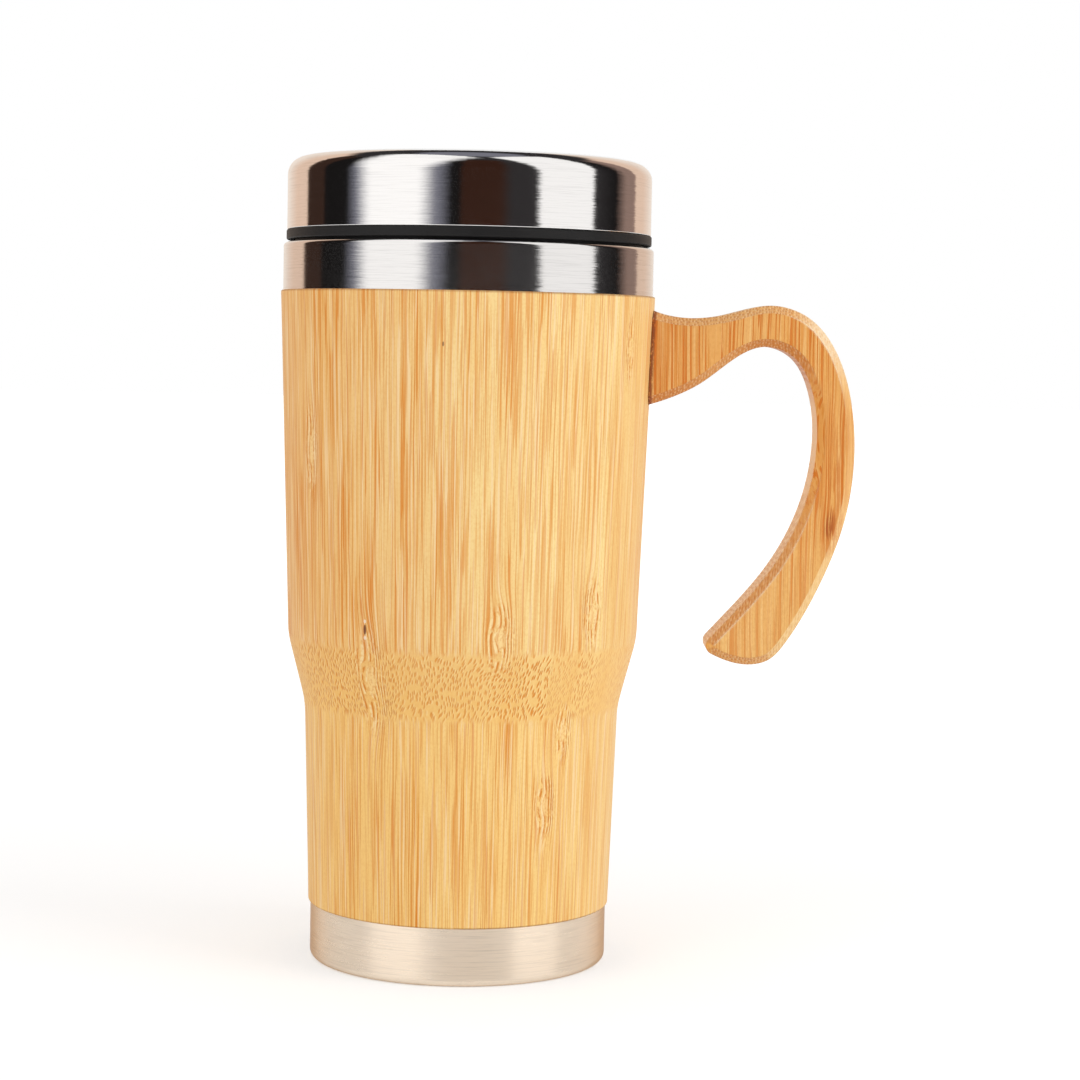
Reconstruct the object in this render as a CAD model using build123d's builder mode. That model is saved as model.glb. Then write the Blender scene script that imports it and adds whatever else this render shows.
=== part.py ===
"""A lidded bamboo travel mug with a hook handle.

Millimetres, +Z up. The origin is on the mug's axis at the plane it stands on, the handle is at +X,
and the drink hole of the lid is at -Y.
"""

import os

from build123d import *

# Heights of the body, stacked from the standing plane
base_band = 12.6
lower_length = 44.3
shoulder_length = 14.8
upper_length = 75.3
collar_height = 10.4

# Outside radii of the bamboo and the steps down to the steel
lower_radius = 33.3
waist_radius = 34.65
shoulder_radius = 38.5
top_radius = 41.0
shoulder_round = 20.0
bamboo_edge = 0.4
base_step = 0.5
collar_step = 0.45

# Walls, and the gaps between the bamboo and the steel
sleeve_wall = 4.6
sheet = 0.5
liner_gap = 0.35
glue_gap = 0.1

# Steel pan at the bottom
base_corner = 1.6
foot_width = 6.0
bead_width = 5.0
bead_depth = 1.0

# Steel liner and the drinking lip
floor_height = 7.5
floor_round = 5.0
mouth_depth = 17.0
lip_round = 0.9

# Handle: a flat hook with bevelled edges
handle_reach = 44.1
handle_drop = 80.1
handle_thickness = 14.6
handle_bevel = 1.7
tip_round = 2.1
root_depth = 4.0

# Handle screws
screw_radius = 1.75
screw_head_radius = 3.5
screw_head_depth = 2.0
screw_length = 14.5
screw_point = 3.0
screw_recess = 0.3
screw_fit = 0.05

# Lid: the steel cover and the upper moulding
lid_gap = 0.5
cover_step = 0.7
cover_height = 15.9
cover_corner = 4.0
cover_hem = 0.2
cover_fit = 0.1
top_width = 7.25
skirt_wall = 1.8
dish_wall = 2.0
dish_depth = 7.5
dish_round = 0.8
dish_rim = 0.4
deck_thickness = 2.5

# Lid: the plug, its seat on the lip and the gasket
flange_thickness = 2.2
flange_proud = 0.1
flange_edge = 0.35
plug_gap = 0.8
plug_wall = 2.2
plug_depth = 11.5
seat_inset = 0.5
seat_width = 1.6
groove_drop = 3.6
groove_height = 4.0
groove_depth = 1.2
gasket_fit = 0.05
gasket_gap = 0.1
fin_height = 0.9

# Drink hole and vent
hole_length = 16.0
hole_width = 9.0
hole_rim = 5.5
vent_radius = 1.5
vent_rim = 8.0

# Slider, its seal and its retainer
slider_travel = 13.0
slider_thickness = 2.4
slider_corner = 2.0
slider_edge = 0.5
slider_tail = 1.0
slide_gap = 0.3
seal_margin = 1.0
seal_thickness = 1.5
seal_gap = 0.05
seal_wall = 1.2
stem_width = 7.4
stem_length = 4.0
tenon_inset = 0.8
retainer_width = 13.0
retainer_length = 8.0
retainer_thickness = 1.6
ridge_width = 14.0
ridge_length = 6.0
ridge_height = 3.2
ridge_round = 1.2
rail_width = 2.0
rail_height = 1.8
rail_end = 1.0

# Levels
waist_z = base_band + lower_length
shoulder_z = waist_z + shoulder_length
seam_z = shoulder_z + upper_length
lip_z = seam_z + collar_height
flange_z = lip_z + lid_gap
cover_z = flange_z + flange_thickness
lid_z = cover_z + cover_height
mouth_z = lip_z - mouth_depth
plug_z = lip_z - plug_depth
groove_top = lip_z - groove_drop
groove_z = groove_top - groove_height
deck_z = lid_z - dish_depth
deck_under = deck_z - deck_thickness
slider_z = deck_z + slide_gap
slider_top = slider_z + slider_thickness
seal_z = deck_z + seal_gap
retainer_top = deck_under - slide_gap
spigot_z = sheet + base_corner

# Radii
base_radius = lower_radius - base_step
collar_radius = top_radius - collar_step
cover_radius = collar_radius - cover_step
flange_radius = cover_radius + flange_proud
mouth_bore = top_radius - sleeve_wall
shoulder_bore = shoulder_radius - sleeve_wall
waist_bore = waist_radius - sleeve_wall
lower_bore = lower_radius - sleeve_wall
liner_inset = liner_gap + sheet
mouth_radius = mouth_bore - liner_inset
lower_spigot = base_radius - sheet - glue_gap
upper_spigot = collar_radius - sheet - glue_gap
foot_inner = base_radius - base_corner - foot_width
plug_radius = mouth_radius - plug_gap
plug_inner = plug_radius - plug_wall
seat_inner = mouth_radius + sheet + seat_inset
skirt_radius = cover_radius - sheet - cover_fit
cover_inner = cover_radius - top_width
dish_radius = cover_inner - cover_fit - dish_wall

# Slider layout along Y: it covers the hole at -Y and opens towards +Y
hole_offset = dish_radius - hole_rim - hole_width / 2
seal_length = hole_length + 2 * seal_margin
seal_width = hole_width + 2 * seal_margin
slider_width = seal_length + 2 * seal_wall
slider_front = -hole_offset - seal_width / 2 - seal_wall
stem_y = -hole_offset + seal_width / 2 + seal_wall + stem_length / 2
slot_front = stem_y - stem_length / 2 - slide_gap
slot_back = stem_y + stem_length / 2 + slider_travel + slide_gap
slider_back = slot_back + slider_tail
slider_length = slider_back - slider_front
ridge_y = stem_y + stem_length / 2 + ridge_length / 2
rail_front = slider_front + rail_end
rail_length = slider_back + slider_travel - rail_front
rail_x = slider_width / 2 + slide_gap + rail_width / 2

# Handle outline, as shares of its reach and drop from the sleeve's top edge: over the outside to the
# tip, then back along the inside of the hook
outside_shares = [
    (0.045, -0.047),
    (0.181, -0.056),
    (0.361, -0.042),
    (0.565, -0.018),
    (0.757, -0.049),
    (0.898, -0.141),
    (0.980, -0.282),
    (1.000, -0.400),
    (0.955, -0.611),
    (0.835, -0.788),
    (0.674, -0.944),
    (0.603, -0.985),
    (0.503, -1.000),
    (0.363, -0.985),
]
tip_share = (0.257, -0.956)
inside_shares = [
    (0.399, -0.870),
    (0.601, -0.734),
    (0.760, -0.554),
    (0.812, -0.387),
    (0.778, -0.240),
    (0.689, -0.158),
    (0.542, -0.130),
    (0.386, -0.167),
    (0.231, -0.232),
    (0.073, -0.275),
]
root_share = (-0.015, -0.303)

# Levels of the handle's root, and of the two screws shared out over it
root_top = seam_z + root_share[0] * handle_drop
root_bottom = seam_z + root_share[1] * handle_drop
upper_screw_z = root_top - 0.27 * (root_top - root_bottom)
lower_screw_z = root_top - 0.58 * (root_top - root_bottom)


def near(sketch, x, y):
    """The corner of a profile that lies at a given point."""
    return sketch.vertices().sort_by_distance((x, y))[0]


def hook_point(share):
    """A point of the handle's outline in millimetres, from its shares."""
    return (top_radius + share[0] * handle_reach, seam_z + share[1] * handle_drop)


def round_hook(edge):
    """Whether an edge of the handle runs round the hook, from root to root."""
    return abs((edge @ 0).Y - (edge @ 1).Y) < handle_bevel and (edge @ 0.5).X > top_radius - root_depth / 2


def screw_plane(height):
    """The plane of a screw's half profile: x along the screw from the top of its head."""
    slope = (mouth_bore - shoulder_bore) / (mouth_z - shoulder_z)
    bore = min(mouth_bore, shoulder_bore + slope * (height - shoulder_z))
    return Plane(origin=(bore + screw_recess, 0, height), x_dir=(1, 0, 0), z_dir=(0, -1, 0))


# Bamboo sleeve: turned outside and inside, with a spigot at each end that the steel goes over
with BuildPart() as bamboo_sleeve:
    with BuildSketch(Plane.XZ) as sleeve_profile:
        with BuildLine():
            Polyline(
                (lower_spigot, spigot_z),
                (lower_spigot, base_band),
                (lower_radius, base_band),
                (waist_radius, waist_z),
                (shoulder_radius, shoulder_z),
                (top_radius, seam_z),
                (upper_spigot, seam_z),
                (upper_spigot, lip_z - sheet),
                (mouth_bore, lip_z - sheet),
                (mouth_bore, mouth_z),
                (shoulder_bore, shoulder_z),
                (waist_bore, waist_z),
                (lower_bore, base_band),
                (lower_bore, spigot_z),
                close=True,
            )
        make_face()
        fillet(near(sleeve_profile, waist_radius, waist_z), shoulder_round)
        fillet(near(sleeve_profile, shoulder_radius, shoulder_z), shoulder_round)
        fillet(near(sleeve_profile, waist_bore, waist_z), shoulder_round)
        fillet(near(sleeve_profile, shoulder_bore, shoulder_z), shoulder_round)
        fillet(near(sleeve_profile, lower_radius, base_band), bamboo_edge)
        fillet(near(sleeve_profile, top_radius, seam_z), bamboo_edge)
        fillet(near(sleeve_profile, upper_spigot, lip_z - sheet), lip_round)
    revolve(axis=Axis.Z)
    # Countersunk screw holes, drilled from inside
    for height in (upper_screw_z, lower_screw_z):
        with BuildSketch(screw_plane(height)):
            with BuildLine():
                Polyline(
                    (-root_depth, 0),
                    (-root_depth, screw_head_radius + screw_fit),
                    (0, screw_head_radius + screw_fit),
                    (screw_head_depth, screw_radius + screw_fit),
                    (screw_length, screw_radius + screw_fit),
                    (screw_length, 0),
                    close=True,
                )
            make_face()
        revolve(axis=Axis(screw_plane(height).origin, (1, 0, 0)), mode=Mode.SUBTRACT)

# Steel liner: a drawn cup that follows the shoulder, open at the lip
with BuildPart() as steel_liner:
    with BuildSketch(Plane.XZ) as liner_profile:
        with BuildLine():
            Polyline(
                (0, floor_height - sheet),
                (lower_bore - liner_gap, floor_height - sheet),
                (lower_bore - liner_gap, base_band),
                (waist_bore - liner_gap, waist_z),
                (shoulder_bore - liner_gap, shoulder_z),
                (mouth_bore - liner_gap, mouth_z),
                (mouth_bore - liner_gap, lip_z),
                (mouth_radius, lip_z),
                (mouth_radius, mouth_z),
                (shoulder_bore - liner_inset, shoulder_z),
                (waist_bore - liner_inset, waist_z),
                (lower_bore - liner_inset, base_band),
                (lower_bore - liner_inset, floor_height),
                (0, floor_height),
                close=True,
            )
        make_face()
        fillet(near(liner_profile, lower_bore - liner_gap, floor_height - sheet), floor_round)
        fillet(near(liner_profile, lower_bore - liner_inset, floor_height), floor_round - sheet)
        fillet(near(liner_profile, waist_bore - liner_gap, waist_z), shoulder_round)
        fillet(near(liner_profile, waist_bore - liner_inset, waist_z), shoulder_round)
        fillet(near(liner_profile, shoulder_bore - liner_gap, shoulder_z), shoulder_round)
        fillet(near(liner_profile, shoulder_bore - liner_inset, shoulder_z), shoulder_round)
    revolve(axis=Axis.Z)

# Rim collar: the steel band over the top spigot, turned in to the liner at the lip
with BuildPart() as rim_collar:
    with BuildSketch(Plane.XZ) as collar_profile:
        with BuildLine():
            Polyline(
                (collar_radius - sheet, seam_z),
                (collar_radius, seam_z),
                (collar_radius, lip_z),
                (mouth_bore - liner_gap, lip_z),
                (mouth_bore - liner_gap, lip_z - sheet),
                (collar_radius - sheet, lip_z - sheet),
                close=True,
            )
        make_face()
        fillet(near(collar_profile, collar_radius, lip_z), lip_round)
        fillet(near(collar_profile, collar_radius - sheet, lip_z - sheet), lip_round - sheet)
    revolve(axis=Axis.Z)

# Base cup: the steel pan over the bottom spigot, its flat bottom stiffened by a pressed ring
with BuildPart() as base_cup:
    bead_inner = foot_inner - bead_width
    slope = sheet * (2**0.5 - 1)
    with BuildSketch(Plane.XZ) as base_profile:
        with BuildLine():
            Polyline(
                (0, 0),
                (bead_inner, 0),
                (bead_inner + bead_depth, bead_depth),
                (foot_inner - bead_depth, bead_depth),
                (foot_inner, 0),
                (base_radius, 0),
                (base_radius, base_band),
                (base_radius - sheet, base_band),
                (base_radius - sheet, sheet),
                (foot_inner + slope, sheet),
                (foot_inner - bead_depth + slope, bead_depth + sheet),
                (bead_inner + bead_depth - slope, bead_depth + sheet),
                (bead_inner - slope, sheet),
                (0, sheet),
                close=True,
            )
        make_face()
        fillet(near(base_profile, base_radius, 0), base_corner)
        fillet(near(base_profile, base_radius - sheet, sheet), base_corner - sheet)
    revolve(axis=Axis.Z)

# Bamboo handle: a flat hook, its root shaped to the sleeve
with BuildPart() as bamboo_handle:
    with BuildSketch(Plane.XZ) as handle_profile:
        with BuildLine():
            root_in = (top_radius - root_depth, root_top)
            root_out = (top_radius - root_depth, root_bottom)
            Spline(root_in, *[hook_point(p) for p in outside_shares], hook_point(tip_share))
            Spline(hook_point(tip_share), *[hook_point(p) for p in inside_shares], root_out)
            Line(root_out, root_in)
        make_face()
        fillet(near(handle_profile, *hook_point(tip_share)), tip_round)
    extrude(amount=handle_thickness / 2, both=True)
    chamfer(bamboo_handle.edges().filter_by(round_hook), handle_bevel)
    # The sleeve's cone, cut away from the root
    with BuildSketch(Plane.XZ):
        with BuildLine():
            Polyline(
                (0, shoulder_z),
                (shoulder_radius, shoulder_z),
                (top_radius, seam_z),
                (0, seam_z),
                close=True,
            )
        make_face()
    revolve(axis=Axis.Z, mode=Mode.SUBTRACT)
    for height in (upper_screw_z, lower_screw_z):
        with BuildSketch(screw_plane(height)):
            with BuildLine():
                Polyline(
                    (0, 0),
                    (0, screw_radius + screw_fit),
                    (screw_length - screw_point, screw_radius + screw_fit),
                    (screw_length + screw_fit, 0),
                    close=True,
                )
            make_face()
        revolve(axis=Axis(screw_plane(height).origin, (1, 0, 0)), mode=Mode.SUBTRACT)

# Two countersunk screws from inside the sleeve into the handle
with BuildPart() as handle_screws:
    for height in (upper_screw_z, lower_screw_z):
        with BuildSketch(screw_plane(height)):
            with BuildLine():
                Polyline(
                    (0, 0),
                    (0, screw_head_radius),
                    (screw_head_depth, screw_radius),
                    (screw_length - screw_point, screw_radius),
                    (screw_length, 0),
                    close=True,
                )
            make_face()
        revolve(axis=Axis(screw_plane(height).origin, (1, 0, 0)))

# Lid cover: a thin steel shell with a rounded top edge, open over the dish
with BuildPart() as lid_cover:
    with BuildSketch(Plane.XZ) as cover_profile:
        with BuildLine():
            Polyline(
                (cover_radius - sheet, cover_z),
                (cover_radius, cover_z),
                (cover_radius, lid_z),
                (cover_inner, lid_z),
                (cover_inner, lid_z - sheet),
                (cover_radius - sheet, lid_z - sheet),
                close=True,
            )
        make_face()
        fillet(near(cover_profile, cover_radius, lid_z), cover_corner)
        fillet(near(cover_profile, cover_radius - sheet, lid_z - sheet), cover_corner - sheet)
        fillet(near(cover_profile, cover_radius, cover_z), cover_hem)
    revolve(axis=Axis.Z)

# Lid deck: the moulding inside the cover, with a sunk dish, the drink hole and the slider's track
with BuildPart() as lid_deck:
    dish_outer = dish_radius + dish_wall
    plate_z = lid_z - sheet - skirt_wall
    skirt_corner = cover_corner - sheet + cover_fit
    with BuildSketch(Plane.XZ) as deck_profile:
        with BuildLine():
            Polyline(
                (0, deck_under),
                (dish_radius, deck_under),
                (dish_radius, cover_z),
                (dish_outer, cover_z),
                (dish_outer, plate_z),
                (skirt_radius - skirt_wall, plate_z),
                (skirt_radius - skirt_wall, cover_z),
                (skirt_radius, cover_z),
                (skirt_radius, lid_z - sheet),
                (dish_outer, lid_z - sheet),
                (dish_outer, lid_z),
                (dish_radius, lid_z),
                (dish_radius, deck_z),
                (0, deck_z),
                close=True,
            )
        make_face()
        fillet(near(deck_profile, skirt_radius, lid_z - sheet), skirt_corner)
        fillet(near(deck_profile, skirt_radius - skirt_wall, plate_z), skirt_corner - skirt_wall)
        fillet(near(deck_profile, dish_radius, deck_z), dish_round)
        fillet(near(deck_profile, dish_radius, lid_z), dish_rim)
        fillet(near(deck_profile, dish_outer, lid_z), dish_rim)
    revolve(axis=Axis.Z)
    with BuildSketch(Plane.XY.offset(deck_z)):
        with Locations((-rail_x, rail_front + rail_length / 2), (rail_x, rail_front + rail_length / 2)):
            Rectangle(rail_width, rail_length)
    extrude(amount=rail_height)
    with BuildSketch(Plane.XY.offset(deck_z)):
        with Locations((0, -hole_offset)):
            SlotOverall(hole_length, hole_width)
        with Locations((0, (slot_front + slot_back) / 2)):
            Rectangle(stem_width + 2 * slide_gap, slot_back - slot_front)
        with Locations((dish_radius - vent_rim, 0)):
            Circle(vent_radius)
    extrude(amount=-deck_thickness, mode=Mode.SUBTRACT)

# Lid plug: the flange that shows as the dark ring, its seat on the lip and the plug with its groove
with BuildPart() as lid_plug:
    with BuildSketch(Plane.XZ) as plug_profile:
        with BuildLine():
            Polyline(
                (plug_inner, plug_z),
                (plug_radius, plug_z),
                (plug_radius, groove_z),
                (plug_radius - groove_depth, groove_z),
                (plug_radius - groove_depth, groove_top),
                (plug_radius, groove_top),
                (plug_radius, flange_z),
                (seat_inner, flange_z),
                (seat_inner, lip_z),
                (seat_inner + seat_width, lip_z),
                (seat_inner + seat_width, flange_z),
                (flange_radius, flange_z),
                (flange_radius, cover_z),
                (dish_radius, cover_z),
                (dish_radius, flange_z),
                (plug_inner, flange_z),
                close=True,
            )
        make_face()
        fillet(near(plug_profile, flange_radius, flange_z), flange_edge)
        fillet(near(plug_profile, flange_radius, cover_z), flange_edge)
    revolve(axis=Axis.Z)

# Lid gasket: a silicone ring with two fins that grip the mouth
with BuildPart() as lid_gasket:
    gasket_inner = plug_radius - groove_depth + gasket_fit
    fin_radius = mouth_radius - gasket_gap
    gasket_z = groove_z + gasket_fit
    gasket_top = groove_top - gasket_fit
    with BuildSketch(Plane.XZ):
        with BuildLine():
            Polyline(
                (gasket_inner, gasket_z),
                (fin_radius, gasket_z),
                (fin_radius, gasket_z + fin_height),
                (plug_radius, gasket_z + fin_height),
                (plug_radius, gasket_top - fin_height),
                (fin_radius, gasket_top - fin_height),
                (fin_radius, gasket_top),
                (gasket_inner, gasket_top),
                close=True,
            )
        make_face()
    revolve(axis=Axis.Z)

# Drink slider: a plate with a thumb ridge, and a stem that goes down through the deck
with BuildPart() as drink_slider:
    with BuildSketch(Plane.XY.offset(slider_z)):
        with Locations((0, (slider_front + slider_back) / 2)):
            RectangleRounded(slider_width, slider_length, slider_corner)
    extrude(amount=slider_thickness)
    fillet(drink_slider.faces().sort_by(Axis.Z)[-1].edges(), slider_edge)
    with BuildSketch(Plane.XY.offset(slider_top)):
        with Locations((0, ridge_y)):
            RectangleRounded(ridge_width, ridge_length, ridge_round)
    extrude(amount=ridge_height)
    fillet(drink_slider.faces().sort_by(Axis.Z)[-1].edges(), ridge_round * 0.8)
    with BuildSketch(Plane.XY.offset(slider_z)):
        with Locations((0, stem_y)):
            Rectangle(stem_width, stem_length)
    extrude(amount=retainer_top - slider_z)
    with BuildSketch(Plane.XY.offset(retainer_top)):
        with Locations((0, stem_y)):
            Rectangle(stem_width - 2 * tenon_inset, stem_length - 2 * tenon_inset)
    extrude(amount=-retainer_thickness)
    with BuildSketch(Plane.XY.offset(slider_z)):
        with Locations((0, -hole_offset)):
            SlotOverall(seal_length, seal_width)
    extrude(amount=seal_z + seal_thickness - slider_z, mode=Mode.SUBTRACT)

# Slider seal: the silicone pad let into the underside of the slider
with BuildPart() as slider_seal:
    with BuildSketch(Plane.XY.offset(seal_z)):
        with Locations((0, -hole_offset)):
            SlotOverall(seal_length, seal_width)
    extrude(amount=seal_thickness)

# Slider retainer: the clip on the end of the stem, below the deck
with BuildPart() as slider_retainer:
    with BuildSketch(Plane.XY.offset(retainer_top)):
        with Locations((0, stem_y)):
            RectangleRounded(retainer_width, retainer_length, slider_corner)
            tenon = (stem_width - 2 * tenon_inset, stem_length - 2 * tenon_inset)
            Rectangle(*tenon, mode=Mode.SUBTRACT)
    extrude(amount=-retainer_thickness)

os.makedirs("parts", exist_ok=True)

bamboo_sleeve.part.label = "bamboo_sleeve"
export_step(bamboo_sleeve.part, "parts/bamboo_sleeve.step")

steel_liner.part.label = "steel_liner"
export_step(steel_liner.part, "parts/steel_liner.step")

rim_collar.part.label = "rim_collar"
export_step(rim_collar.part, "parts/rim_collar.step")

base_cup.part.label = "base_cup"
export_step(base_cup.part, "parts/base_cup.step")

bamboo_handle.part.label = "bamboo_handle"
export_step(bamboo_handle.part, "parts/bamboo_handle.step")

handle_screws.part.label = "handle_screws"
export_step(handle_screws.part, "parts/handle_screws.step")

lid_cover.part.label = "lid_cover"
export_step(lid_cover.part, "parts/lid_cover.step")

lid_deck.part.label = "lid_deck"
export_step(lid_deck.part, "parts/lid_deck.step")

lid_plug.part.label = "lid_plug"
export_step(lid_plug.part, "parts/lid_plug.step")

lid_gasket.part.label = "lid_gasket"
export_step(lid_gasket.part, "parts/lid_gasket.step")

drink_slider.part.label = "drink_slider"
export_step(drink_slider.part, "parts/drink_slider.step")

slider_seal.part.label = "slider_seal"
export_step(slider_seal.part, "parts/slider_seal.step")

slider_retainer.part.label = "slider_retainer"
export_step(slider_retainer.part, "parts/slider_retainer.step")
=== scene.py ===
"""Looks, light and camera for the bamboo travel mug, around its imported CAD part."""

import math

import bpy
from mathutils import Matrix, Vector


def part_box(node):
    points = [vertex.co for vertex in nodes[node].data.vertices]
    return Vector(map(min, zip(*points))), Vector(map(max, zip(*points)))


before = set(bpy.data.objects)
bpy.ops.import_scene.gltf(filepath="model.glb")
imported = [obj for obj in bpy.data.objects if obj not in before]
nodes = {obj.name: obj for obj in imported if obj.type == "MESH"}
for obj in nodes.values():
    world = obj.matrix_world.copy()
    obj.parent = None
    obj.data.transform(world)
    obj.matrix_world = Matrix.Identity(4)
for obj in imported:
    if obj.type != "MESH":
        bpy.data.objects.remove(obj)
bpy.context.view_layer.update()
scene = bpy.context.scene

# Levels of the mug, in millimetres from the standing plane: the top of the base band, the two ends of
# the shoulder, and the lower edge of the collar
BASE_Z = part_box("base_cup")[1].z * 1000
WAIST_Z = 56.9
SHOULDER_Z = 71.7
SEAM_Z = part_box("rim_collar")[0].z * 1000

WHITE = (1.0, 1.0, 1.0, 1.0)


def srgb(red, green, blue):
    """A linear colour from 8-bit screen values."""
    parts = [v / 255 for v in (red, green, blue)]
    return tuple(v / 12.92 if v <= 0.04045 else ((v + 0.055) / 1.055) ** 2.4 for v in parts) + (1.0,)


class Value:
    """A node socket that takes part in plain arithmetic."""

    def __init__(self, tree, socket):
        self.tree, self.socket = tree, socket

    def __add__(self, other):
        return self.tree.math("ADD", self, other)

    def __sub__(self, other):
        return self.tree.math("SUBTRACT", self, other)

    def __rsub__(self, other):
        return self.tree.math("SUBTRACT", other, self)

    def __mul__(self, other):
        return self.tree.math("MULTIPLY", self, other)

    def __truediv__(self, other):
        return self.tree.math("DIVIDE", self, other)

    __radd__ = __add__


class Tree:
    """Shorthand for wiring a node tree."""

    def __init__(self, tree):
        self.tree = tree
        tree.nodes.clear()

    def put(self, socket, value):
        if isinstance(value, Value):
            self.tree.links.new(value.socket, socket)
        else:
            socket.default_value = value

    def add(self, kind, inputs=None, **settings):
        node = self.tree.nodes.new(kind)
        for key, value in settings.items():
            setattr(node, key, value)
        for key, value in (inputs or {}).items():
            self.put(node.inputs[key], value)
        return node

    def out(self, node, key=0):
        return Value(self, node.outputs[key])

    def math(self, operation, a, b=0.0, c=0.0):
        return self.out(self.add("ShaderNodeMath", {0: a, 1: b, 2: c}, operation=operation))

    def parts(self, vector):
        """The x, y and z of a vector."""
        split = self.add("ShaderNodeSeparateXYZ", {0: vector})
        return [self.out(split, i) for i in range(3)]

    def place(self):
        """The object's own coordinates in millimetres, as x, y and z."""
        at = self.out(self.add("ShaderNodeTexCoord"), "Object")
        return [part * 1000.0 for part in self.parts(at)]

    def vector(self, x, y, z=0.0):
        return self.out(self.add("ShaderNodeCombineXYZ", {0: x, 1: y, 2: z}))

    def noise(self, at, detail=2.0, rough=0.5, scale=1.0):
        inputs = {"Vector": at, "Scale": scale, "Detail": detail, "Roughness": rough}
        return self.out(self.add("ShaderNodeTexNoise", inputs))

    def cells(self, x, y, spread=1.0):
        """The distance to the nearest of a scatter of points, about one to each unit square."""
        inputs = {"Vector": self.vector(x, y), "Scale": 1.0, "Randomness": spread}
        return self.out(self.add("ShaderNodeTexVoronoi", inputs, voronoi_dimensions="2D"), "Distance")

    def chance(self, seed):
        """Three random values for a whole number."""
        node = self.add("ShaderNodeTexWhiteNoise", {"W": seed}, noise_dimensions="1D")
        split = self.add("ShaderNodeSeparateColor", {0: self.out(node, "Color")})
        return [self.out(split, i) for i in range(3)]

    def fade(self, value, start, end, low=0.0, high=1.0):
        """A smooth step from low at start to high at end."""
        inputs = {"Value": value, 1: start, 2: end, 3: low, 4: high}
        node = self.add("ShaderNodeMapRange", inputs, interpolation_type="SMOOTHSTEP")
        return self.out(node)

    def spot(self, u, v):
        """A round spot, 1 at its middle and fading at a distance of about 1."""
        return self.math("EXPONENT", (u * u + v * v) * -1.0)

    def mix(self, share, first, second):
        node = self.add("ShaderNodeMix", {0: share, 6: first, 7: second}, data_type="RGBA")
        return self.out(node, 2)

    def paint(self, ground, *coats):
        """A ground colour under coats, each a share and a colour in 8-bit screen values."""
        for share, colour in coats:
            ground = self.mix(share, ground, srgb(*colour))
        return ground

    def ramp(self, value, stops):
        node = self.add("ShaderNodeValToRGB", {0: value})
        ramp = node.color_ramp
        ramp.interpolation = "LINEAR"
        while len(ramp.elements) < len(stops):
            ramp.elements.new(0.5)
        for element, (position, colour) in zip(ramp.elements, stops):
            element.position = position
            element.color = colour
        return self.out(node)

    def bump(self, height, depth, normal=None):
        """A bump of a height from 0 to 1, with a depth in millimetres."""
        inputs = {"Height": height, "Distance": depth / 1000.0}
        if normal:
            inputs["Normal"] = normal
        return self.out(self.add("ShaderNodeBump", inputs))

    def surface(self, **inputs):
        """Ends a material with a Principled shader, its sockets named with underscores."""
        node = self.add("ShaderNodeBsdfPrincipled")
        for key, value in inputs.items():
            self.put(node.inputs[key.replace("_", " ")], value)
        output = self.add("ShaderNodeOutputMaterial")
        self.tree.links.new(node.outputs[0], output.inputs["Surface"])


def material(name):
    made = bpy.data.materials.new(name)
    made.use_nodes = True
    return made, Tree(made.node_tree)


def wear(node, made):
    """Gives a CAD node its material."""
    nodes[node].data.materials.clear()
    nodes[node].data.materials.append(made)


# Bamboo

# Culm nodes in the strips of the sleeve: azimuth from the front, height, half width, half height,
# how far the fibres lean there
SLEEVE_KNOTS = [
    (-29.5, 65.0, 2.8, 9.0, -0.42),
    (13.5, 75.0, 2.4, 6.0, -0.45),
    (46.5, 79.5, 2.2, 6.0, 0.30),
    (60.0, 135.5, 1.3, 5.5, 0.20),
    (40.5, 54.0, 2.0, 5.0, -0.25),
    (33.6, 38.5, 2.3, 5.5, -0.40),
    (-53.5, 113.0, 1.9, 8.0, -0.20),
    (96.0, 103.0, 2.2, 6.5, 0.28),
    (124.0, 47.0, 2.0, 6.0, -0.30),
    (163.0, 121.0, 2.2, 7.0, 0.25),
    (-168.0, 83.0, 2.3, 6.5, -0.30),
    (-137.0, 36.0, 2.0, 5.5, 0.30),
    (-104.0, 62.0, 2.4, 7.0, 0.35),
    (-84.0, 131.0, 2.0, 6.5, -0.25),
]
# Strips round the sleeve, the seed of their culms, the radius that widths are measured at, and the
# height over which the lean turns at the middle of a culm node
STRIPS = 34
CULM = 400
GRAIN_RADIUS = 37.0
KNOT_ROUND = 2.0

# Azimuths of the side painted lighter as painted light, and of the strips with little dark fibre and how far
# these spread
PAINTED_LIGHT_AZIMUTH = 80.0
PLAIN_AZIMUTH, PLAIN_SPREAD = 66.0, 20.0

# Height about which the dashes lean, and marks: azimuth, height, half width, half height
DASH_Z = 64.0
WORM_HOLE = (-30.4, 75.9, 0.36, 1.2)
BARK_SPECK = (-5.5, 135.9, 0.24, 0.6)


def fibres(t, line, depth, along):
    """Fibres along z: bold dark hairs, finer ones between them, and pale ones."""

    def hairs(width, length, outer, inner, seed):
        """Hairs of a width and length, cut from noise between an outer and an inner level."""
        at = t.vector(line * (1 / width) + seed, depth * (0.25 / width), along * (1 / length))
        return t.fade(t.noise(at, 1.0, 0.45), outer, inner)

    return (
        hairs(0.42, 40.0, 0.56, 0.60, 0.0),
        hairs(0.27, 26.0, 0.52, 0.60, 31.0),
        hairs(0.40, 45.0, 0.55, 0.62, 77.0),
    )


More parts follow.
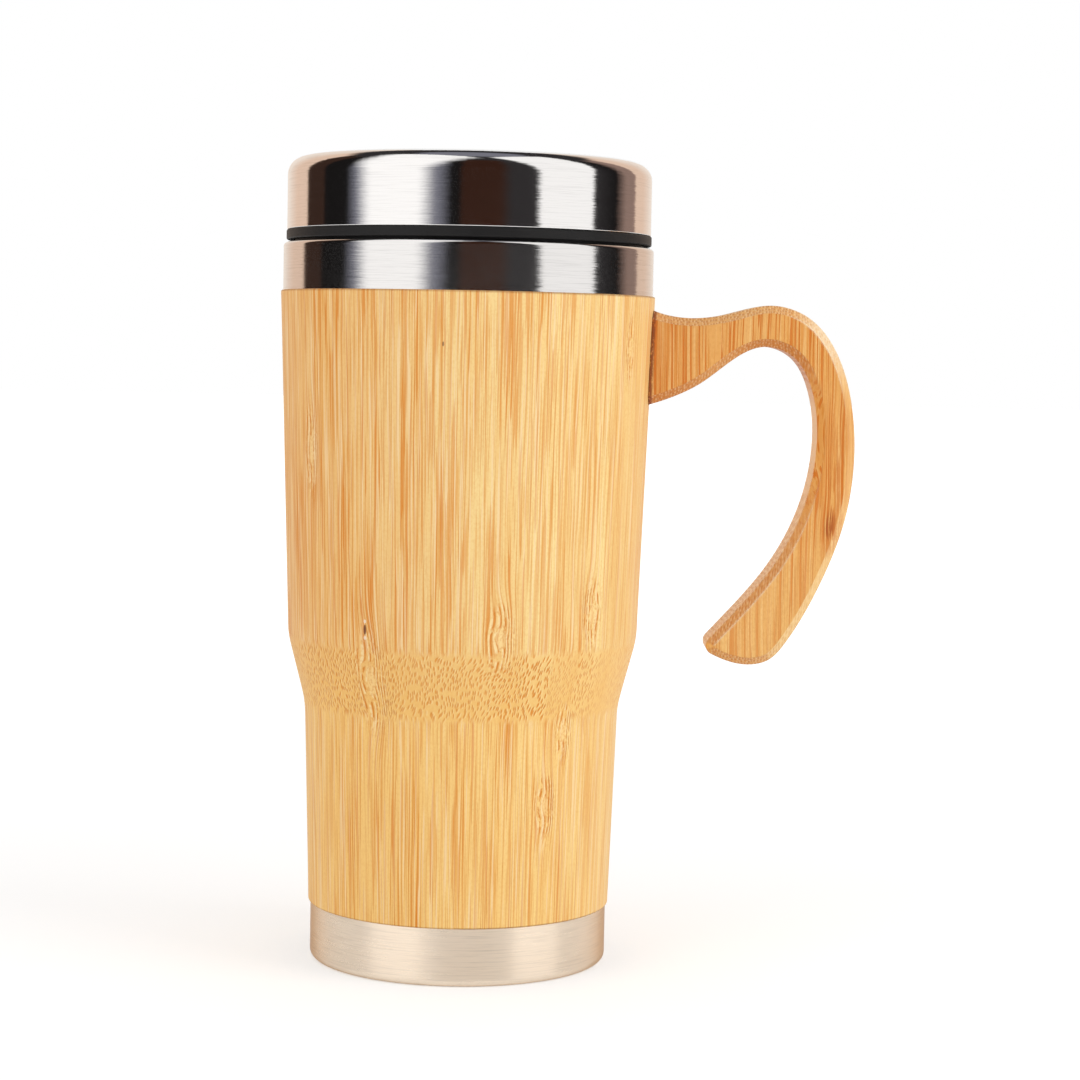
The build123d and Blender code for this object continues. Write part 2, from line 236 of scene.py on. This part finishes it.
def culm_nodes(t, turn, z):
    """How far the fibres bulge outwards and bend aside at culm nodes, and the share of the nearest one."""
    bulge, warp, knot = 0.0, 0.0, 0.0
    for azimuth, height, half_width, half_height, lean in SLEEVE_KNOTS:
        aside = (turn - math.radians(azimuth)) * GRAIN_RADIUS
        rise = z - height
        spot = t.spot(aside * (1 / half_width), rise * (1 / half_height))
        bulge = bulge + spot
        warp = warp + spot * (aside * -0.4 + t.math("SQRT", rise * rise + KNOT_ROUND**2) * lean)
        knot = t.math("MAXIMUM", knot, spot)
    return bulge, warp, knot


def knot_strokes(t, line, across, z, knot):
    """The smooth middle of a culm node, and the dark broken strokes that run round it, with pale strokes
    painted between them as a highlight.
    """
    ripple = line * 7.5 + t.noise(t.vector(across * 0.3, z * 0.12, 5.0), 1.0) * 5.0
    middle = t.fade(knot, 0.8, 0.95)
    ring = t.fade(knot, 0.08, 0.35) * (1.0 - middle * 0.8)
    ring = ring * t.fade(t.noise(t.vector(line * 1.3, z * 0.5, 9.0), 2.0), 0.40, 0.54)
    stroke = t.fade(t.math("SINE", ripple), 0.1, 0.8) * ring
    painted_sheen = t.fade(t.math("SINE", ripple + 2.3), 0.1, 0.8) * ring
    return middle, stroke, painted_sheen


def shoulder_dashes(t, line, depth, across, z, shift, lift):
    """Leaning dashes, more or fewer of them in each strip, and a painted highlight beside each."""
    slant = (t.noise(t.vector(across * 0.11, z * 0.09, shift * 30.0), 1.0) - 0.32) * 0.9
    leaning = line - (z - DASH_Z) * slant
    density = shift * 0.8 + 1.35

    def dashes(offset):
        near = t.cells(leaning * density + offset, depth * density * 1.25 + lift * 90.0, 0.9)
        return t.fade(near, 0.42, 0.18)

    return dashes(0.0), dashes(-0.42)


def sleeve_marks(t, turn, z):
    """A worm hole above one culm node, painted highlights at its ends, and a speck of bark."""

    def offset(azimuth, height, half_width, half_height):
        """How far a point lies from a mark, sideways and upwards, in its half sizes."""
        return (turn - math.radians(azimuth)) * (GRAIN_RADIUS / half_width), (z - height) * (1 / half_height)

    u, v = offset(*WORM_HOLE)
    hole = t.fade(u * u + v * v, 1.0, 0.4)
    end = t.math("ABSOLUTE", v) - 1.45
    painted_hole_glint = t.fade(u * u + end * end * 6.0, 1.0, 0.3)
    u, v = offset(*BARK_SPECK)
    speck = t.fade(u * u + v * v, 1.0, 0.3)
    return hole, painted_hole_glint, speck


def sleeve_bamboo():
    made, t = material("bamboo_sleeve_wood")
    x, y, z = t.place()
    turn = t.math("ARCTAN2", x, y * -1.0)
    radius = t.math("SQRT", x * x + y * y)
    across = turn * GRAIN_RADIUS

    # Laminated strips, each with its own piece of culm
    stave = turn * (STRIPS / (2 * math.pi))
    edge = t.math("ABSOLUTE", t.math("FRACT", stave) - 0.5)
    tone, shift, lift = t.chance(t.math("FLOOR", stave) + CULM)

    # Fibres wander, and at a culm node they spread apart, lean over and bulge outwards
    bulge, warp, knot = culm_nodes(t, turn, z)
    wander = t.noise(t.vector(across * 0.2, z * 0.03, shift * 40.0), 1.0) - 0.5
    depth = radius + bulge + shift * 17.0
    along = z + lift * 400.0
    line = across + wander * 0.6 + warp
    bold, fine, pale = fibres(t, line, depth, along)
    middle, stroke, painted_sheen = knot_strokes(t, line, across, z, knot)
    broad = t.noise(t.vector(line * 0.35, depth * 0.1, along * 0.012), 2.0, 0.6)
    grit = t.noise(t.vector(across * 2.4, z * 1.5, radius * 2.0), 1.0)

    # A few strips in front of the handle have little dark fibre
    beside = (turn - math.radians(PLAIN_AZIMUTH)) * (1 / math.radians(PLAIN_SPREAD))
    plain = t.math("EXPONENT", beside * beside * -1.0)

    # The shoulder cuts the upright fibre bundles into short dashes
    shoulder = t.fade(z, WAIST_Z - 0.8, WAIST_Z + 1.0) * t.fade(z, SHOULDER_Z + 0.6, SHOULDER_Z - 1.2)
    wall = 1.0 - shoulder
    strength = t.fade(lift, 0.0, 0.8, 0.65, 1.0) * t.fade(knot, 0.5, 0.2) * shoulder * (1.0 - plain * 0.5)
    strength = strength * (1.08 - shift * 0.2)
    dash, painted_glint = [share * strength for share in shoulder_dashes(t, line, depth, across, z, shift, lift)]

    # The side by the handle is painted lighter, as painted light. Each strip has its own share of dark
    # fibre, which comes and goes, and is lower on the painted lit side and on the side opposite it, as
    # painted light.
    painted_lit_side = t.math("COSINE", turn - math.radians(PAINTED_LIGHT_AZIMUTH)) * 0.5 + 0.5
    rich = t.fade(broad, 0.32, 0.64, 0.55, 1.0) * t.fade(tone, 0.0, 0.8, 0.75, 1.0)
    rich = rich * (1.15 - painted_lit_side * 0.4 - plain * 0.35)
    rich = rich * (1.0 - t.fade(painted_lit_side, 0.45, 0.1) * t.fade(z, SHOULDER_Z, WAIST_Z, 0.2, 0.45))

    # The marks, and the ends darkened next to the steel bands, lie over the rest
    hole, painted_hole_glint, speck = sleeve_marks(t, turn, z)
    ends = t.math("MAXIMUM", t.fade(z, SEAM_Z - 0.6, SEAM_Z - 0.1), t.fade(z, BASE_Z + 0.5, BASE_Z + 0.1))
    body = t.paint(
        t.mix(painted_lit_side, srgb(240, 189, 120), srgb(251, 228, 160)),
        (t.fade(tone, 0.1, 1.0) * 0.4, (236, 178, 100)),
        (t.fade(broad, 0.4, 0.66) * 0.3, (238, 180, 98)),
        # Painted light: the wall below the shoulder painted lighter, less so on the painted lit side
        (t.fade(z, SHOULDER_Z + 6.0, WAIST_Z) * (0.8 - painted_lit_side * 0.35), (250, 204, 120)),
        (t.fade(grit, 0.4, 0.7) * 0.18, (228, 162, 82)),
        (shoulder * 0.25, (238, 174, 84)),
        (pale * wall * 0.6, (248, 218, 170)),
        (fine * wall * rich * 0.8, (225, 148, 56)),
        (bold * wall * rich * 0.95, (221, 133, 38)),
        # Painted highlight beside each dash
        (painted_glint * 0.72, (254, 222, 156)),
        (dash * 0.88, (220, 134, 32)),
        (middle * 0.5, (252, 218, 152)),
        # Painted highlight beside the knot strokes
        (painted_sheen * 0.65, (255, 230, 174)),
        (stroke * 0.85, (218, 128, 28)),
        (t.fade(edge, 0.488, 0.5) * wall * 0.3, (218, 142, 60)),
        (knot * t.fade(grit, 0.5, 0.65) * 0.35, (214, 132, 46)),
        (hole * 0.85, (104, 42, 18)),
        # Painted highlights at the worm hole's ends
        (painted_hole_glint * 0.7, (252, 240, 220)),
        (speck * 0.75, (122, 84, 58)),
        (ends * 0.5, (150, 88, 42)),
    )

    cuts = dash * 0.4 + bold * wall * 0.15 + fine * wall * 0.1 + stroke * 0.4
    height = 0.9 + grit * 0.06 - cuts - hole * 1.5 - t.fade(edge, 0.485, 0.5) * wall * 0.1
    gloss = t.math("MULTIPLY_ADD", cuts, 0.15, 0.46)
    t.surface(Base_Color=body, Roughness=gloss, Specular_IOR_Level=0.25, Normal=t.bump(height, 0.16))
    return made


# Streaks in the handle: x, height, half width, half height, strength
HANDLE_STREAKS = [
    (79.6, 97.0, 2.4, 5.5, 1.0),
    (81.2, 107.5, 2.4, 9.0, 0.85),
    (81.0, 120.0, 3.2, 7.0, 0.5),
]
# Thickness of its layers and spacing of its fibre bundles in millimetres, and its eased edge in metres
HANDLE_LAYER = 5.2
BUNDLE = 0.66
EASED_EDGE = 0.0007
# The sleeve's taper, and the radii between which the glue of the joint fades, taken down to z = 0
SLEEVE_TAPER = 0.0332
GLUE_OUTER, GLUE_INNER = 37.3, 36.6


def handle_streaks(t, x, y, z):
    """Dark streaks of a culm node on the outside of the hook, only on its front."""
    streak = 0.0
    for across, height, half_width, half_height, share in HANDLE_STREAKS:
        spot = t.spot((x - across) * (1 / half_width), (z - height) * (1 / half_height))
        streak = streak + spot * share
    return streak * t.fade(y, 0.0, -5.0)


def eased_edges(t, grit):
    """A normal that eases the edges of the bevels, as sanding does, and a mask of the up-facing edges,
    partly worn by the hand and partly a painted highlight.
    """
    eased = t.out(t.add("ShaderNodeBevel", {"Radius": EASED_EDGE}, samples=6))
    plain = t.out(t.add("ShaderNodeNewGeometry"), "True Normal")
    match = t.out(t.add("ShaderNodeVectorMath", {0: eased, 1: plain}, operation="DOT_PRODUCT"), "Value")
    tilt_x, _, tilt_z = t.parts(eased)
    rubbed_and_lit = t.fade(tilt_z, 0.05, 0.2) * t.fade(t.math("ABSOLUTE", tilt_x), 0.08, 0.22)
    wear_and_sheen = t.fade(match, 0.999, 0.95) * t.fade(grit, 0.3, 0.6, 0.5, 1.0) * rubbed_and_lit
    return eased, wear_and_sheen


def handle_bamboo():
    made, t = material("bamboo_handle_wood")
    x, y, z = t.place()
    radius = t.math("SQRT", x * x + y * y)

    # Fibres in layers, pushed aside a little by the streaks
    streak = handle_streaks(t, x, y, z)
    wander = t.noise(t.vector(x * 0.1, y * 0.1, z * 0.025), 1.0) - 0.5
    line, depth = x + wander * 1.4 + streak * 0.5, y + wander * 1.0
    tone, _, lift = t.chance(t.math("FLOOR", line * (1 / HANDLE_LAYER) + 0.3))
    along = z + lift * 90.0
    bold, fine, pale = fibres(t, line + depth * 0.7, depth, along)
    broad = t.noise(t.vector(line * 0.45, depth * 0.2, along * 0.014), 2.0, 0.6)
    grit = t.noise(t.vector(x * 2.4, y * 2.4, z * 1.5), 1.0)
    torn = t.fade(t.noise(t.vector(line * 2.0, depth * 0.8, z * 0.1 + 4.0), 3.0, 0.65), 0.4, 0.54)

    # Which way a face looks, and the lower part of the hook
    side_x, side_y, side_z = t.parts(t.out(t.add("ShaderNodeTexCoord"), "Normal"))
    inwards = t.fade(side_x, -0.15, -0.5)
    outwards = t.fade(side_x, 0.2, 0.6)
    upwards = t.fade(side_z, 0.1, 0.4)
    downwards = t.fade(side_z, -0.1, -0.5)
    flank = t.fade(t.math("ABSOLUTE", side_y), 0.5, 0.2)
    lower = t.fade(z, 112.0, 80.0)

    # The ends of the bundles are dots where a face cuts across them. The fibres show less there, and on
    # the outer face, which lies along them.
    across = t.fade(t.math("ABSOLUTE", side_z), 0.12, 0.45)
    dot = t.fade(t.cells(line * (1 / BUNDLE), depth * (1 / BUNDLE), 0.6), 0.5, 0.15) * across
    pith = t.fade(t.cells(line * (1 / BUNDLE) + 0.5, depth * (1 / BUNDLE), 0.6), 0.45, 0.15) * across
    with_grain = (1.0 - across * 0.8) * (1.0 - outwards * flank * 0.6)

    # The up-facing edges are paler, partly worn where the hand rubs them and partly a painted highlight, the
    # upper outer bevel has a painted highlight, and glue shows in the joint with the sleeve
    eased, wear_and_sheen = eased_edges(t, grit)
    # A painted highlight on the upper outer bevel
    painted_crown_highlight = outwards * upwards * (1.0 - flank) * t.fade(grit, 0.3, 0.6, 0.4, 1.0)
    joint = t.fade(radius - z * SLEEVE_TAPER, GLUE_OUTER, GLUE_INNER) * t.fade(grit, 0.3, 0.5, 0.3, 1.0)
    body = t.paint(
        t.mix(tone, srgb(238, 182, 106), srgb(234, 172, 92)),
        (lower * 0.6, (243, 198, 122)),
        (t.fade(x, 56.0, 43.0) * 0.4, (220, 144, 66)),
        (t.fade(broad, 0.42, 0.66) * 0.4, (228, 154, 70)),
        (pale * with_grain * 0.45, (247, 206, 138)),
        (fine * with_grain * (0.6 - lower * 0.3), (218, 132, 34)),
        (bold * with_grain * (0.9 - lower * 0.4), (214, 116, 14)),
        (t.fade(grit, 0.4, 0.7) * 0.22, (214, 140, 60)),
        (across * 0.4, (232, 180, 122)),
        # Painted light and shade by which way a face looks: the upper inner bevel and the underside darker,
        # the inner face and the outer bevel lighter
        (inwards * upwards * (1.0 - flank) * 0.6, (204, 142, 86)),
        (inwards * flank * 0.7, (250, 214, 160)),
        (downwards * t.fade(z, 80.0, 112.0, 0.25, 0.8), (202, 122, 48)),
        (outwards * (1.0 - flank) * t.fade(z, 108.0, 90.0, 0.3, 0.65), (250, 216, 150)),
        (pith * 0.4, (248, 216, 170)),
        (dot * (0.6 - outwards * 0.3), (200, 120, 50)),
        (streak * torn * 0.8, (204, 110, 16)),
        (t.fade(streak, 0.85, 1.1) * torn * 0.6, (158, 70, 12)),
        (wear_and_sheen * 0.8, (250, 232, 200)),
        (painted_crown_highlight * 0.55, (253, 238, 208)),
        (joint * 0.85, (128, 54, 14)),
    )

    height = 0.8 - dot * 0.4 - bold * with_grain * 0.3 - fine * with_grain * 0.15 + grit * 0.08
    gloss = t.math("MULTIPLY_ADD", dot, 0.12, 0.42)
    relief = t.bump(height, 0.14, normal=eased)
    t.surface(Base_Color=body, Roughness=gloss, Specular_IOR_Level=0.45, Normal=relief)
    return made


# Steel, plastic and silicone

# Radius at which the length of the brushed lines is measured, in millimetres
BRUSH_RADIUS = 40.0


def steel(name, colour, rough, spread, relief, sway, shade, anisotropic, metallic=1.0, edge=WHITE):
    """Steel brushed round the mug's axis, each line turned aside by the sway.

    The roughness varies by the spread, the relief is the depth of the lines in millimetres, the shade is
    how strongly they darken, and the edge is the tint where the surface turns away.
    """
    made, t = material(name)
    x, y, z = t.place()
    turn = t.math("ARCTAN2", x, y * -1.0)
    radius = t.math("SQRT", x * x + y * y)
    along = turn * BRUSH_RADIUS
    rise = z + radius
    hair = t.noise(t.vector(along * 0.07, rise * 3.2), 3.0, 0.7)
    grain = t.noise(t.vector(along * 0.7, rise * 3.0), 2.0, 0.6)
    cloud = t.noise(t.vector(x * 0.09, y * 0.09, z * 0.09), 2.0)
    dark = tuple(c * 0.72 for c in colour[:3]) + (1.0,)
    tint = t.mix(t.fade(hair, 0.45, 0.75) * shade, colour, dark)
    gloss = rough + (hair - 0.5) * spread + (cloud - 0.5) * (spread * 0.6)
    tangent = t.out(t.add("ShaderNodeTangent", direction_type="RADIAL", axis="Z"))
    plain = t.out(t.add("ShaderNodeNewGeometry"), "Normal")
    aside = t.out(t.add("ShaderNodeVectorMath", {0: (0.0, 0.0, 1.0), 1: plain}, operation="CROSS_PRODUCT"))
    line = t.noise(t.vector(along * 0.15, rise * 8.0), 2.0, 0.6) - 0.5
    push = t.out(t.add("ShaderNodeVectorMath", {0: aside, "Scale": line * sway}, operation="SCALE"))
    leant = t.out(t.add("ShaderNodeVectorMath", {0: plain, 1: push}, operation="ADD"))
    leant = t.out(t.add("ShaderNodeVectorMath", {0: leant}, operation="NORMALIZE"))
    t.surface(
        Base_Color=tint,
        Metallic=metallic,
        Roughness=gloss,
        Specular_Tint=edge,
        Anisotropic=anisotropic,
        Anisotropic_Rotation=0.25,
        Tangent=tangent,
        Normal=t.bump(hair * 0.5 + grain, relief, normal=leant),
    )
    return made


def plastic(name, colour, rough, grain, depth):
    """Moulded polypropylene with a fine spark-eroded texture."""
    made, t = material(name)
    x, y, z = t.place()
    at = t.vector(x, y, z)
    texture = t.noise(at, 3.0, 0.6, grain)
    cloud = t.noise(at, 2.0, 0.5, 0.12)
    tint = t.mix(t.fade(cloud, 0.3, 0.7), colour, tuple(c * 1.5 for c in colour[:3]) + (1.0,))
    gloss = rough + (texture - 0.5) * 0.2 + (cloud - 0.5) * 0.1
    t.surface(Base_Color=tint, Roughness=gloss, Specular_IOR_Level=0.3, Normal=t.bump(texture, depth))
    return made


def silicone():
    made, t = material("silicone_rubber")
    x, y, z = t.place()
    at = t.vector(x, y, z)
    dust = t.noise(at, 3.0, 0.6, 1.6)
    cloud = t.noise(at, 2.0, 0.5, 0.15)
    tint = t.mix(t.fade(cloud, 0.3, 0.7), srgb(214, 214, 210), srgb(196, 197, 194))
    gloss = 0.42 + (dust - 0.5) * 0.25
    t.surface(
        Base_Color=tint,
        Roughness=gloss,
        Subsurface_Weight=0.35,
        Subsurface_Radius=(0.004, 0.004, 0.004),
        Subsurface_Scale=0.5,
        Normal=t.bump(dust, 0.02),
    )
    return made


bright = steel(
    "bright_steel_brushed",
    (0.84, 0.83, 0.82, 1.0),
    rough=0.085,
    spread=0.05,
    relief=0.006,
    sway=0.07,
    shade=0.4,
    anisotropic=0.6,
)
rim = steel(
    "rim_steel_brushed",
    (0.77, 0.76, 0.75, 1.0),
    rough=0.115,
    spread=0.07,
    relief=0.008,
    sway=0.09,
    shade=0.5,
    anisotropic=0.6,
)
# Painted reflection: the base steel's warm colour and brown edge tint stand in for warm surroundings
# reflected in it
satin = steel(
    "satin_steel_brushed",
    (0.97, 0.84, 0.69, 1.0),
    rough=0.29,
    spread=0.12,
    relief=0.010,
    sway=0.06,
    shade=0.5,
    anisotropic=0.9,
    edge=(0.62, 0.46, 0.34, 1.0),
)
liner = steel(
    "liner_steel_drawn",
    (0.72, 0.71, 0.70, 1.0),
    rough=0.40,
    spread=0.14,
    relief=0.010,
    sway=0.1,
    shade=0.5,
    anisotropic=0.7,
    metallic=0.7,
)
screw = steel(
    "screw_steel_plain",
    (0.62, 0.62, 0.62, 1.0),
    rough=0.30,
    spread=0.10,
    relief=0.006,
    sway=0.0,
    shade=0.3,
    anisotropic=0.0,
)
black = plastic("black_plastic_moulded", (0.007, 0.0065, 0.0065, 1.0), rough=0.55, grain=2.2, depth=0.05)
rubber = silicone()

wear("bamboo_sleeve", sleeve_bamboo())
wear("bamboo_handle", handle_bamboo())
wear("rim_collar", rim)
wear("lid_cover", bright)
wear("base_cup", satin)
wear("steel_liner", liner)
wear("handle_screws", screw)
for name in ("lid_deck", "lid_plug", "drink_slider", "slider_retainer"):
    wear(name, black)
for name in ("lid_gasket", "slider_seal"):
    wear(name, rubber)

# Stage


def background_rays(t):
    """1 for the rays that see the background: from the camera, and off or through a surface."""
    path = t.add("ShaderNodeLightPath")
    seen = t.math("MAXIMUM", t.out(path, "Is Camera Ray"), t.out(path, "Is Glossy Ray"))
    return t.math("MAXIMUM", seen, t.out(path, "Is Transmission Ray"))


# White surroundings, with an even fill on the object
FILL = 0.74
world = bpy.data.worlds.new("studio")
world.use_nodes = True
scene.world = world
t = Tree(world.node_tree)
strength = t.math("MULTIPLY_ADD", background_rays(t), 1.0 - FILL, FILL)
backdrop = t.add("ShaderNodeBackground", {"Color": WHITE, "Strength": strength})
t.tree.links.new(backdrop.outputs[0], t.add("ShaderNodeOutputWorld").inputs["Surface"])

# Pale floor that keeps the shadow, and turns white away from the mug
bpy.ops.mesh.primitive_plane_add(size=12.0)
floor = bpy.context.object
floor.name = "floor"
made, t = material("floor_paper")
diffuse = t.add("ShaderNodeBsdfDiffuse", {"Color": (0.84, 0.84, 0.84, 1.0)})
x, y, _ = t.place()
away = t.fade(t.math("SQRT", x * x + y * y), 120.0, 900.0, 0.3, 0.6)
direct = t.out(t.add("ShaderNodeLightPath"), "Is Camera Ray") * 0.35 + 0.65
strength = background_rays(t) * away * direct
glow = t.add("ShaderNodeEmission", {"Color": WHITE, "Strength": strength})
both = t.add("ShaderNodeAddShader")
t.tree.links.new(diffuse.outputs[0], both.inputs[0])
t.tree.links.new(glow.outputs[0], both.inputs[1])
t.tree.links.new(both.outputs[0], t.add("ShaderNodeOutputMaterial").inputs["Surface"])
floor.data.materials.append(made)

# The studio that the steel reflects: two softboxes leaning over the mug in a dark room, open to the
# white behind it. Directions are azimuths off the camera's and elevations, in degrees.
ROOM_RADIUS = 1.3
ROOM_CENTRE = 0.15
BLACK = (0.010, 0.009, 0.009, 1.0)
BROWN = (0.040, 0.016, 0.010, 1.0)
UMBER = (0.042, 0.022, 0.016, 1.0)
GREY = (0.032, 0.029, 0.030, 1.0)
COOL = (0.20, 0.20, 0.24, 1.0)
PLUM = (0.30, 0.20, 0.165, 1.0)
BEIGE = (0.84, 0.61, 0.47, 1.0)
PALE = (0.92, 0.80, 0.70, 1.0)
# Walls: from one azimuth to another, blending in between
WALLS = [
    (-180, -156, PALE),
    (-135, -120, BEIGE),
    (-118, -101, UMBER),
    (-99, -80, BLACK),
    (-72, -18, COOL),
    (-10, -5, BLACK),
    (-3, 20, BROWN),
    (27, 86, GREY),
    (104, 104, BLACK),
    (115, 126, PLUM),
    (128, 140, BEIGE),
    (160, 180, PALE),
]
# The gap behind the mug: half its width in degrees, and its height as a share of the rings
GAP_AZIMUTH, GAP_RINGS = 14, 0.6
# Heights at which the ceiling and the pale patch overhead begin and are full, as shares of the radius
CEILING = (0.70, 0.80)
OVERHEAD = (0.94, 0.97)
# Softboxes: azimuth, elevation, half width, soft edge on each side, lowest and highest, brightness
PANELS = [
    (-46.0, 35.0, 0.46, 0.16, 0.16, -0.95, 0.85, 1.17),
    (64.0, 25.0, 0.385, 0.05, 0.04, -0.70, 1.10, 1.08),
]


def room_mesh():
    """A dome with a gap behind the mug."""
    sides, rings, lowest = 90, 20, -8
    corners, faces = [], []
    for j in range(rings + 1):
        elevation = math.radians(lowest + (90 - lowest) * j / rings)
        for i in range(sides):
            angle = 2 * math.pi * i / sides
            flat = ROOM_RADIUS * math.cos(elevation)
            rise = ROOM_CENTRE + ROOM_RADIUS * math.sin(elevation)
            corners.append((flat * math.sin(angle), -flat * math.cos(angle), rise))
    for j in range(rings):
        for i in range(sides):
            k = (i + 1) % sides
            low, high = j * sides, (j + 1) * sides
            behind = abs(i + 0.5 - sides / 2) < sides * GAP_AZIMUTH / 360 and j < rings * GAP_RINGS
            if not behind:
                faces.append((low + i, low + k, high + k, high + i))
    mesh = bpy.data.meshes.new("studio_room")
    mesh.from_pydata(corners, [], faces)
    return mesh


def panel_light(t, x, y, rise, azimuth, elevation, half, soft_left, soft_right, low, high):
    """Where a softbox lights the dome, with its edges measured on a plane that faces the mug."""
    a, e = math.radians(azimuth), math.radians(elevation)
    out = (math.sin(a) * math.cos(e), -math.cos(a) * math.cos(e), math.sin(e))
    side = (math.cos(a), math.sin(a), 0.0)
    over = (-math.sin(a) * math.sin(e), math.cos(a) * math.sin(e), math.cos(e))
    facing = x * out[0] + y * out[1] + rise * out[2]
    u = (x * side[0] + y * side[1]) / facing
    v = (x * over[0] + y * over[1] + rise * over[2]) / facing
    lit = t.fade(u, -half - soft_left, -half + soft_left)
    lit = lit * t.fade(u, half + soft_right, half - soft_right)
    lit = lit * t.fade(v, low - 0.05, low + 0.05) * t.fade(v, high + 0.05, high - 0.05)
    return lit * t.fade(facing, 0.0, 1.0)


def room_paint():
    """The walls, the ceiling and the softboxes, all as plain emission."""
    made, t = material("studio_room_paint")
    x, y, z = t.place()
    rise = z - ROOM_CENTRE * 1000
    angle = t.math("ARCTAN2", x, y * -1.0)
    stops = [((a + 180) / 360, colour) for start, end, colour in WALLS for a in (start, end)]
    level = t.ramp(angle * (1 / (2 * math.pi)) + 0.5, stops)
    for (start, full), colour in ((CEILING, GREY), (OVERHEAD, COOL)):
        share = t.fade(rise, ROOM_RADIUS * 1000 * start, ROOM_RADIUS * 1000 * full)
        level = t.mix(share, level, colour)
    for *panel, power in PANELS:
        lit = panel_light(t, x, y, rise, *panel)
        level = t.mix(lit, level, (power, power * 0.985, power * 0.975, 1.0))
    glow = t.add("ShaderNodeEmission", {"Color": level, "Strength": 1.0})
    t.tree.links.new(glow.outputs[0], t.add("ShaderNodeOutputMaterial").inputs["Surface"])
    return made


# Only reflections show the room
wall = bpy.data.objects.new("studio_room", room_mesh())
wall.data.materials.append(room_paint())
scene.collection.objects.link(wall)
wall.visible_camera = False
wall.visible_diffuse = False
wall.visible_transmission = False
wall.visible_shadow = False

# Height that the lamps aim at, in metres
LAMP_TARGET_Z = 0.09
LAMP_COLOUR = (1.0, 0.99, 0.98)


def softbox(name, azimuth, width, height, centre_z, distance, radiance):
    """A soft light that faces the mug from an azimuth off the camera's direction."""
    light = bpy.data.lights.new(name, "AREA")
    light.shape = "RECTANGLE"
    light.size, light.size_y = width, height
    light.energy = radiance * math.pi * width * height
    light.color = LAMP_COLOUR
    lamp = bpy.data.objects.new(name, light)
    scene.collection.objects.link(lamp)
    angle = math.radians(azimuth)
    lamp.location = (distance * math.sin(angle), -distance * math.cos(angle), centre_z)
    aim = Vector((0.0, 0.0, LAMP_TARGET_Z)) - lamp.location
    lamp.rotation_euler = aim.to_track_quat("-Z", "Y").to_euler()
    lamp.visible_camera = False
    lamp.visible_glossy = False


softbox("softbox_left", -48, width=0.64, height=0.7, centre_z=0.32, distance=0.75, radiance=1.0)
softbox("softbox_right", 64, width=0.52, height=0.7, centre_z=0.30, distance=0.75, radiance=2.1)

# Camera, fitted to the photograph's view: metres, radians and pixels
PHOTO_WIDTH = 1080
FOCAL_PIXELS = 2725.18
SENSOR = 36.0
PITCH, ROLL = 0.07175, 0.01945
CAMERA_PLACE = (0.01676, -0.60108, 0.13624)
camera = bpy.data.objects.new("camera", bpy.data.cameras.new("camera"))
scene.collection.objects.link(camera)
camera.data.sensor_width = SENSOR
camera.data.lens = SENSOR * FOCAL_PIXELS / PHOTO_WIDTH
camera.data.clip_start, camera.data.clip_end = 0.01, 50.0
ahead = Vector((0.0, math.cos(PITCH), -math.sin(PITCH)))
right = Vector((1.0, 0.0, 0.0))
up = right.cross(ahead)
right, up = right * math.cos(ROLL) + up * math.sin(ROLL), up * math.cos(ROLL) - right * math.sin(ROLL)
turned = Matrix((right, up, -ahead)).transposed().to_4x4()
camera.matrix_world = Matrix.Translation(CAMERA_PLACE) @ turned
scene.camera = camera

scene.view_settings.view_transform = "Standard"
